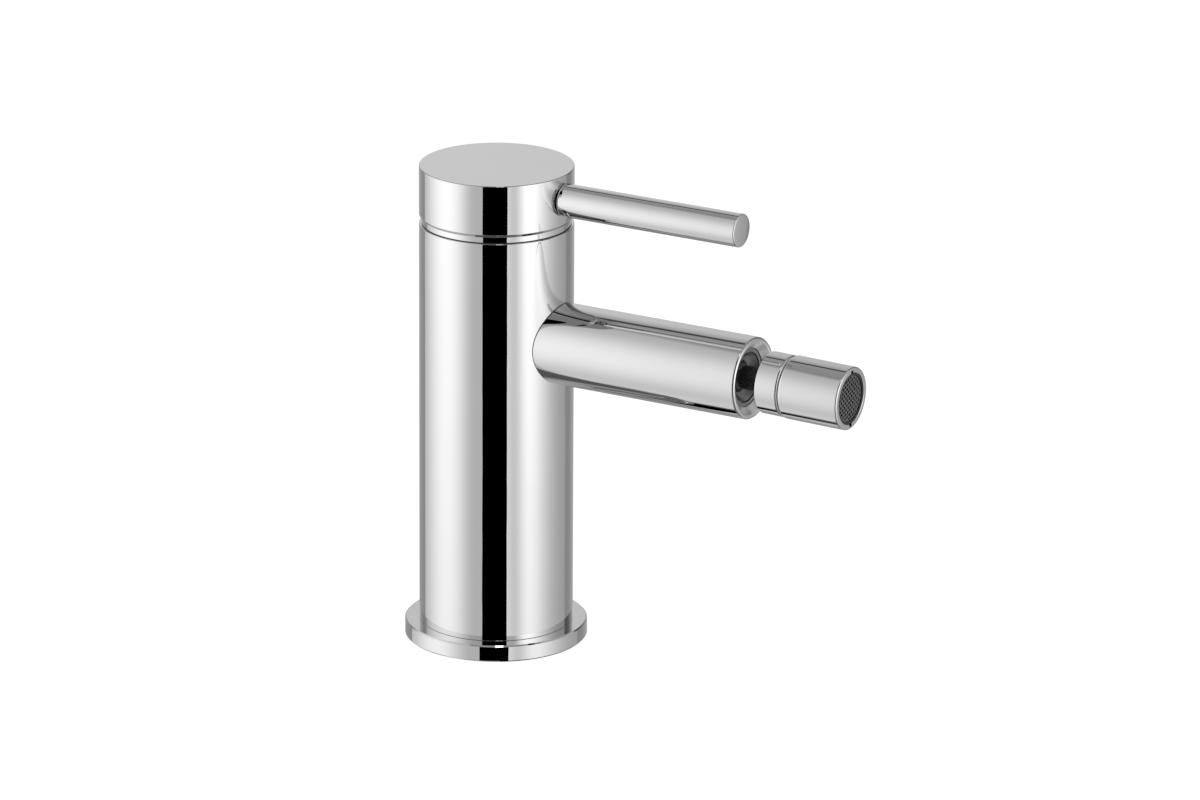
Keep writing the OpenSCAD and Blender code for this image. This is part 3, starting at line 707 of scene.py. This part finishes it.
# Ball joint
def make_clamp_ring():
    """Ring that holds the ball in the spout, with a groove and a sagging bowl round the ball."""
    lip_height = SOCKET_R * math.cos(LIP_ANGLE)
    lip_r = SOCKET_R * math.sin(LIP_ANGLE)
    bowl = []
    for i in range(BOWL_STEPS + 1):
        t = i / BOWL_STEPS
        sag = BOWL_SAG * math.sin(math.pi * t)
        bowl.append((BOWL_BRIM + (lip_height - BOWL_BRIM) * t - sag, BOWL_R + (lip_r - BOWL_R) * t + sag / 2))
    socket = sweep(0, SOCKET_R, LIP_ANGLE, math.pi / 2, 6)
    ring = turn(
        "clamp_ring", CLAMP_R, 0, CLAMP_FRONT,
        above=[
            (CLAMP_FRONT, CLAMP_GROOVE_R), (CLAMP_GROOVE_FLOOR, CLAMP_GROOVE_R), (CLAMP_GROOVE_FLOOR, BOWL_R),
            *bowl, *socket[1:],
        ],
        below=[(0, SOCKET_R)],
        rounds=[(CLAMP_FRONT, CLAMP_R, CLAMP_ROUND, 2)],
        axis=BALL_AXIS, sides=SMALL_SIDES,
    )
    finish_piece(ring, "mixer", "dark_grey_ring", "ball_retainer")


def make_ball_stem():
    joint_angle = math.asin(STEM_R / BALL_R)
    back_angle = math.pi - math.asin(STEM_BORE_R / BALL_R)
    ball = sweep(0, BALL_R, joint_angle, back_angle, 32)
    stem = turn(
        "ball_stem", STEM_R, ball[0][0], SHOULDER_START,
        above=[
            (SHOULDER_START, SHOULDER_R), (COLLAR_START, SHOULDER_R), (COLLAR_START, TAIL_R),
            (COLLAR_FLOOR, TAIL_R), (COLLAR_FLOOR, STEM_BORE_R),
        ],
        below=ball[1:],
        rounds=[(SHOULDER_START, SHOULDER_R, SHOULDER_ROUND, 3)],
        axis=NOZZLE_AXIS, sides=SMALL_SIDES,
    )
    finish_piece(stem, "nozzle", "black_acetal", "swivel_ball")


# Nozzle
def make_collar():
    collar = turn(
        "collar", COLLAR_R, COLLAR_START, COLLAR_END,
        above=[
            (COLLAR_END, THREAD_R), (THREAD_END, THREAD_R), (THREAD_END, CAGE_BORE_R),
            (COLLAR_FLOOR, CAGE_BORE_R), (COLLAR_FLOOR, TAIL_R + FIT),
        ],
        below=[(COLLAR_START, TAIL_R + FIT)],
        rounds=[(COLLAR_START, COLLAR_R, NOZZLE_ROUND, 6), (COLLAR_END, COLLAR_R, GROOVE_ROUND, 8)],
        axis=NOZZLE_AXIS,
    )
    finish_piece(collar, "nozzle", "polished_chrome", "nozzle_collar")


def make_sleeve():
    sleeve = turn(
        "sleeve", SLEEVE_R, SLEEVE_START, SLEEVE_END,
        above=[
            (SLEEVE_END, RIM_R + RIM_BEVEL), (SLEEVE_END - RIM_BEVEL, RIM_R), (SLEEVE_STEP, RIM_R),
            (SLEEVE_STEP, SLEEVE_BORE_R),
        ],
        below=[(SLEEVE_START, SLEEVE_BORE_R)],
        rounds=[(SLEEVE_START, SLEEVE_R, GROOVE_ROUND, 8), (SLEEVE_END, SLEEVE_R, NOZZLE_ROUND, 6)],
        axis=NOZZLE_AXIS,
    )
    reach = RIM_R + NOTCH_DEPTH
    low = (-reach, -NOTCH_W / 2, SLEEVE_END - NOTCH_W)
    high = (reach, NOTCH_W / 2, SLEEVE_END + MM)
    carve(sleeve, make_block("notches", low, high, NOZZLE_AXIS))
    finish_piece(sleeve, "nozzle", "polished_chrome", "nozzle_sleeve")


def make_cage():
    cage = turn(
        "aerator_cage", THREAD_R, CAGE_START, SLEEVE_STEP,
        above=[
            (SLEEVE_STEP, CAGE_R), (CAGE_END, CAGE_R), (CAGE_END, DISC_POCKET_R),
            (SCREEN_SEAT, DISC_POCKET_R), (SCREEN_SEAT, CAGE_BORE_R),
        ],
        below=[
            (CAGE_START, DISC_POCKET_R), (DISC_POCKET_END, DISC_POCKET_R), (DISC_POCKET_END, CAGE_BORE_R),
        ],
        rounds=[(CAGE_END, CAGE_R, CAGE_ROUND, 3), (CAGE_END, DISC_POCKET_R, CAGE_LIP_ROUND, 2)],
        axis=NOZZLE_AXIS, sides=SMALL_SIDES,
    )
    finish_piece(cage, "nozzle", "black_plastic", "aerator_housing")


def make_cells(radius):
    """The screen's six-sided cells as one cutting tool, wider at the front and cut off by a circle."""
    half = SCREEN_T / 2
    corner_r = (CELL_PITCH - CELL_BAR) / 2 / math.cos(math.pi / 6)
    cell = turn(
        "cells", corner_r, -SCREEN_T, half - CELL_EDGE,
        above=[(half, corner_r + CELL_EDGE), (half + CELL_EDGE, corner_r + CELL_EDGE)],
        through=False, sides=6,
    )
    row_step = CELL_PITCH * math.sin(math.pi / 3)
    rows = math.ceil(radius / row_step)
    spots = [
        Vector(((i + row % 2 / 2) * CELL_PITCH, row * row_step, 0))
        for row in range(-rows, rows + 1)
        for i in range(-rows, rows + 1)
    ]
    copies = []
    for spot in spots:
        if 0 < spot.length < radius + corner_r:
            bpy.ops.object.select_all(action="DESELECT")
            cell.select_set(True)
            bpy.context.view_layer.objects.active = cell
            bpy.ops.object.duplicate()
            bpy.ops.transform.translate(value=spot)
            copies.append(bpy.context.active_object)
    bpy.ops.object.select_all(action="DESELECT")
    for copy in copies:
        copy.select_set(True)
    cell.select_set(True)
    bpy.context.view_layer.objects.active = cell
    bpy.ops.object.transform_apply(location=True, rotation=True, scale=True)
    bpy.ops.object.join()
    limit = make_bar("cells_limit", radius, -2 * SCREEN_T, 2 * SCREEN_T, UPRIGHT, SMALL_SIDES)
    carve(cell, limit, "INTERSECT")
    return cell


def make_screen():
    """Moulded honeycomb screen: a thin web of six-sided cells in a deeper rim."""
    half = SCREEN_T / 2
    inner_r = SCREEN_R - CELL_BAR
    screen = turn(
        "honeycomb_screen", SCREEN_R, -half, half,
        below=[(-half, inner_r), (half - WEB_T, inner_r)],
        rounds=[(half, SCREEN_R, SCREEN_ROUND, 2)],
        through=False, sides=SMALL_SIDES,
    )
    carve(screen, make_cells(inner_r))
    bpy.ops.object.select_all(action="DESELECT")
    screen.select_set(True)
    bpy.context.view_layer.objects.active = screen
    seat = NOZZLE_AXIS @ Matrix.Translation((0, 0, SCREEN_MID))
    screen.matrix_world = seat @ Matrix.Rotation(CELL_TURN, 4, "Z")
    bpy.ops.object.transform_apply(location=True, rotation=True, scale=True)
    finish_piece(screen, "nozzle", "grey_plastic", "aerator_screen")


# Studio: three soft walls of light round the object, a dark front where the camera stands, and a pale floor.
# Places are in metres in the camera's own compass, from the body's axis: x to its right, y away, z up.
# A reach of WIDE is so far that a lobe doesn't fade that way.
LEFT_X = -0.55
LEFT_FRONT_Y = -1.51
LEFT_LOW = -1.27
LEFT_HIGH = 1.15
LEFT_HEAD = 1.6
RIGHT_X = 0.69
RIGHT_FRONT_Y = -2.33
RIGHT_LOW = -0.92
RIGHT_FOOT = -2.6
RIGHT_HIGH = 1.6
REAR_Y = 0.485
REAR_LOW = -1.5
REAR_HIGH = 0.70
REAR_HEM = 0.84
REAR_HEAD = 1.2
FLAG_LEFT = -1.9
FLAG_RIGHT = 0.9
FLAG_Y = -2.6
FLAG_LOW = -2.5
FLAG_HIGH = 4.6
PANEL_PLACE = (0.08, -0.46, 1.5)
PANEL_W = 0.18
PANEL_D = 0.3
ROOM_R = 6.0
FLOOR_R = 2.5
LAMP_SIZE = 1.2
LAMP_HEIGHT = 1.5
LAMP_POWER = 12
POST_R = 20 * MM
POST_FOOT_R = 2 * MM
POST_TOP = -22 * MM
POST_H = 200 * MM
POST_PLACE = (17 * MM, 10 * MM)
ROUND_SIDES = 48
WIDE = 9


def glow_finish(name, glow, lobes=(), tilt=(0, 0, 0)):
    """A wall that glows evenly, and more or less along its length by its tilt.

    A lobe is what a lamp or a dark spot adds to the glow, its middle, and how far it reaches each way."""
    finish = bpy.data.materials.new(name)
    finish.use_nodes = True
    tree = finish.node_tree
    tree.nodes.clear()
    place = add_node(tree, "ShaderNodeTexCoord").outputs["Object"]
    slope = add_node(tree, "ShaderNodeVectorMath", operation="DOT_PRODUCT")
    slope.inputs[1].default_value = tilt
    tree.links.new(place, slope.inputs[0])
    level = math_node(tree, "ADD", slope.outputs["Value"], glow)
    for lift, centre, reach in lobes:
        mapping = add_node(tree, "ShaderNodeMapping", vector_type="TEXTURE")
        mapping.inputs["Location"].default_value = centre
        mapping.inputs["Scale"].default_value = reach
        tree.links.new(place, mapping.inputs["Vector"])
        far = add_node(tree, "ShaderNodeVectorMath", operation="DOT_PRODUCT")
        tree.links.new(mapping.outputs[0], far.inputs[0])
        tree.links.new(mapping.outputs[0], far.inputs[1])
        fade = math_node(tree, "EXPONENT", math_node(tree, "MULTIPLY", far.outputs["Value"], -1.0))
        level = math_node(tree, "ADD", math_node(tree, "MULTIPLY", fade, lift), level)
    light = add_node(tree, "ShaderNodeEmission")
    tree.links.new(level, light.inputs["Strength"])
    end = add_node(tree, "ShaderNodeOutputMaterial")
    tree.links.new(light.outputs[0], end.inputs["Surface"])
    return finish


def stand_wall(name, low, high, finish):
    """An upright wall between two corners in the camera's compass, unseen by the camera itself."""
    bpy.ops.object.select_all(action="DESELECT")
    bpy.ops.mesh.primitive_plane_add(size=1)
    wall = bpy.context.active_object
    wall.name = name
    for vertex in wall.data.vertices:
        across = vertex.co.x + 0.5
        upward = vertex.co.y + 0.5
        vertex.co = (
            low[0] + (high[0] - low[0]) * across,
            low[1] + (high[1] - low[1]) * across,
            low[2] + (high[2] - low[2]) * upward,
        )
    finish_stage(wall, finish)
    return wall


def finish_stage(thing, finish):
    """Turns a studio piece to the camera's compass, and lets only the object mirror it."""
    thing.rotation_euler.z = VIEW_AZIMUTH
    thing.data.materials.append(finish)
    thing.visible_camera = False
    thing.visible_shadow = False


def make_left_wall():
    lamp = (0.91, (LEFT_X, -0.127, 0.115), (WIDE, 0.40, 0.53))
    foot = (0.20, (LEFT_X, 0.1, -1.05), (WIDE, 0.6, 0.4))
    corner = (-0.3, (LEFT_X, 0.5, 0.35), (WIDE, 0.12, 0.3))
    finish = glow_finish("left_glow", glow=0.62, lobes=[lamp, foot, corner])
    stand_wall("left_wall", (LEFT_X, LEFT_FRONT_Y, LEFT_LOW), (LEFT_X, REAR_Y, LEFT_HIGH), finish)
    brim = (0.36, (LEFT_X, 0, LEFT_HIGH), (WIDE, WIDE, 0.26))
    head = glow_finish("left_head_glow", glow=0.28, lobes=[brim])
    stand_wall("left_head", (LEFT_X, LEFT_FRONT_Y, LEFT_HIGH), (LEFT_X, REAR_Y, LEFT_HEAD), head)


def make_right_wall():
    lamp = (1.36, (RIGHT_X, -0.588, 0.247), (WIDE, 0.46, 0.623))
    corner = (0.12, (RIGHT_X, 0.44, 0.52), (WIDE, 0.15, 0.2))
    finish = glow_finish("right_glow", glow=0.505, lobes=[lamp, corner], tilt=(0, -0.169, -0.103))
    stand_wall("right_wall", (RIGHT_X, RIGHT_FRONT_Y, RIGHT_LOW), (RIGHT_X, REAR_Y, RIGHT_HIGH), finish)
    low_lamp = (0.42, (RIGHT_X, -0.5, -1.1), (WIDE, 0.4, 0.6))
    foot = glow_finish("right_foot_glow", glow=0.2, lobes=[low_lamp])
    stand_wall("right_foot", (RIGHT_X, RIGHT_FRONT_Y, RIGHT_FOOT), (RIGHT_X, REAR_Y, RIGHT_LOW), foot)


def make_rear_wall():
    lamp = (0.44, (-0.02, REAR_Y, 0.30), (0.26, WIDE, 0.33))
    foot = (0.35, (-0.1, REAR_Y, -0.85), (0.5, WIDE, 0.25))
    corner = (-0.24, (0.5, REAR_Y, 0.4), (0.3, WIDE, 0.35))
    side = (0.07, (0.23, REAR_Y, -0.07), (0.13, WIDE, 0.3))
    low_side = (0.24, (0.63, REAR_Y, -1.05), (0.2, WIDE, 0.35))
    gap = (-0.36, (-0.165, REAR_Y, -0.55), (0.07, WIDE, 0.13))
    finish = glow_finish("rear_glow", glow=0.34, lobes=[lamp, foot, corner, side, low_side, gap])
    stand_wall("rear_wall", (LEFT_X, REAR_Y, REAR_LOW), (RIGHT_X, REAR_Y, REAR_HIGH), finish)
    hem = glow_finish("hem_glow", glow=0.08)
    stand_wall("rear_hem", (LEFT_X, REAR_Y, REAR_HIGH), (RIGHT_X, REAR_Y, REAR_HEM), hem)
    head = glow_finish("head_glow", glow=0.38)
    stand_wall("rear_head", (LEFT_X, REAR_Y, REAR_HEM), (RIGHT_X, REAR_Y, REAR_HEAD), head)


def make_top_panel():
    bpy.ops.object.select_all(action="DESELECT")
    bpy.ops.mesh.primitive_plane_add(size=1, location=PANEL_PLACE)
    panel = bpy.context.active_object
    panel.name = "top_panel"
    panel.scale = (PANEL_W, PANEL_D, 1)
    bpy.ops.object.transform_apply(location=True, rotation=True, scale=True)
    finish_stage(panel, glow_finish("panel_glow", glow=3.5))


def make_dark_post(black):
    """A dark peg below the floor, which only the chrome mirrors."""
    bpy.ops.object.select_all(action="DESELECT")
    bpy.ops.mesh.primitive_cone_add(
        vertices=ROUND_SIDES, radius1=POST_FOOT_R, radius2=POST_R, depth=POST_H,
        location=(*POST_PLACE, POST_TOP - POST_H / 2),
    )
    post = bpy.context.active_object
    bpy.ops.object.transform_apply(location=True, rotation=True, scale=True)
    post.name = "dark_post"
    finish_stage(post, black)


def make_room():
    bpy.ops.object.select_all(action="DESELECT")
    bpy.ops.mesh.primitive_uv_sphere_add(segments=ROUND_SIDES, ring_count=ROUND_SIDES // 2, radius=ROOM_R)
    room = bpy.context.active_object
    room.name = "studio_room"
    ceiling = (0.21, (0, 0, ROOM_R), (WIDE, WIDE, ROOM_R))
    finish_stage(room, glow_finish("room_grey", glow=0.16, lobes=[ceiling]))


def make_studio():
    make_left_wall()
    make_right_wall()
    make_rear_wall()
    black = glow_finish("front_black", glow=0.0)
    stand_wall("front_flag", (FLAG_LEFT, FLAG_Y, FLAG_LOW), (FLAG_RIGHT, FLAG_Y, FLAG_HIGH), black)
    make_top_panel()
    make_dark_post(black)
    make_room()


def floor_finish():
    """Pale floor that looks white to the camera and still takes the object's shadow."""
    finish = bpy.data.materials.new("pale_floor")
    finish.use_nodes = True
    tree = finish.node_tree
    tree.nodes.clear()
    rays = add_node(tree, "ShaderNodeLightPath")
    seen = math_node(tree, "MAXIMUM", rays.outputs["Is Camera Ray"], rays.outputs["Is Glossy Ray"])
    seen = math_node(tree, "MAXIMUM", seen, rays.outputs["Is Transmission Ray"])
    plain = add_node(tree, "ShaderNodeBsdfDiffuse")
    plain.inputs["Color"].default_value = (*grey(0.8), 1)
    paper = add_node(tree, "ShaderNodeBsdfDiffuse")
    paper.inputs["Color"].default_value = (*grey(0.25), 1)
    light = add_node(tree, "ShaderNodeEmission")
    light.inputs["Strength"].default_value = 0.85
    lit = add_node(tree, "ShaderNodeAddShader")
    tree.links.new(paper.outputs[0], lit.inputs[0])
    tree.links.new(light.outputs[0], lit.inputs[1])
    choice = add_node(tree, "ShaderNodeMixShader")
    tree.links.new(seen, choice.inputs["Fac"])
    tree.links.new(plain.outputs[0], choice.inputs[1])
    tree.links.new(lit.outputs[0], choice.inputs[2])
    end = add_node(tree, "ShaderNodeOutputMaterial")
    tree.links.new(choice.outputs[0], end.inputs["Surface"])
    return finish


def make_floor():
    """Floor that isn't mirrored, because the photographed chrome shows only the studio's walls."""
    bpy.ops.object.select_all(action="DESELECT")
    bpy.ops.mesh.primitive_circle_add(vertices=2 * ROUND_SIDES, radius=FLOOR_R, fill_type="NGON")
    floor = bpy.context.active_object
    floor.name = "floor"
    floor.data.materials.append(floor_finish())
    floor.visible_glossy = False


def make_lamp():
    lamp = bpy.data.objects.new("top_lamp", bpy.data.lights.new("top_lamp", "AREA"))
    lamp.data.size = LAMP_SIZE
    lamp.data.energy = LAMP_POWER
    lamp.location = (0, 0, LAMP_HEIGHT)
    lamp.visible_glossy = False
    lamp.visible_camera = False
    bpy.context.scene.collection.objects.link(lamp)


def make_world():
    world = bpy.data.worlds.new("white_backdrop")
    world.use_nodes = True
    world.node_tree.nodes["Background"].inputs["Color"].default_value = (1, 1, 1, 1)
    world.node_tree.nodes["Background"].inputs["Strength"].default_value = 1
    bpy.context.scene.world = world


make_camera()
dress_nodes()
make_base_flange()
make_body_shell()
make_neck_band()
make_neck_shade_ring()
make_spout_pipe()
make_saddle_shade_ring()
make_cap_shell()
make_lever_pin()
make_clamp_ring()
make_ball_stem()
make_collar()
make_sleeve()
make_cage()
make_screen()
make_studio()
make_floor()
make_lamp()
make_world()
bpy.context.scene.view_settings.view_transform = "Standard"
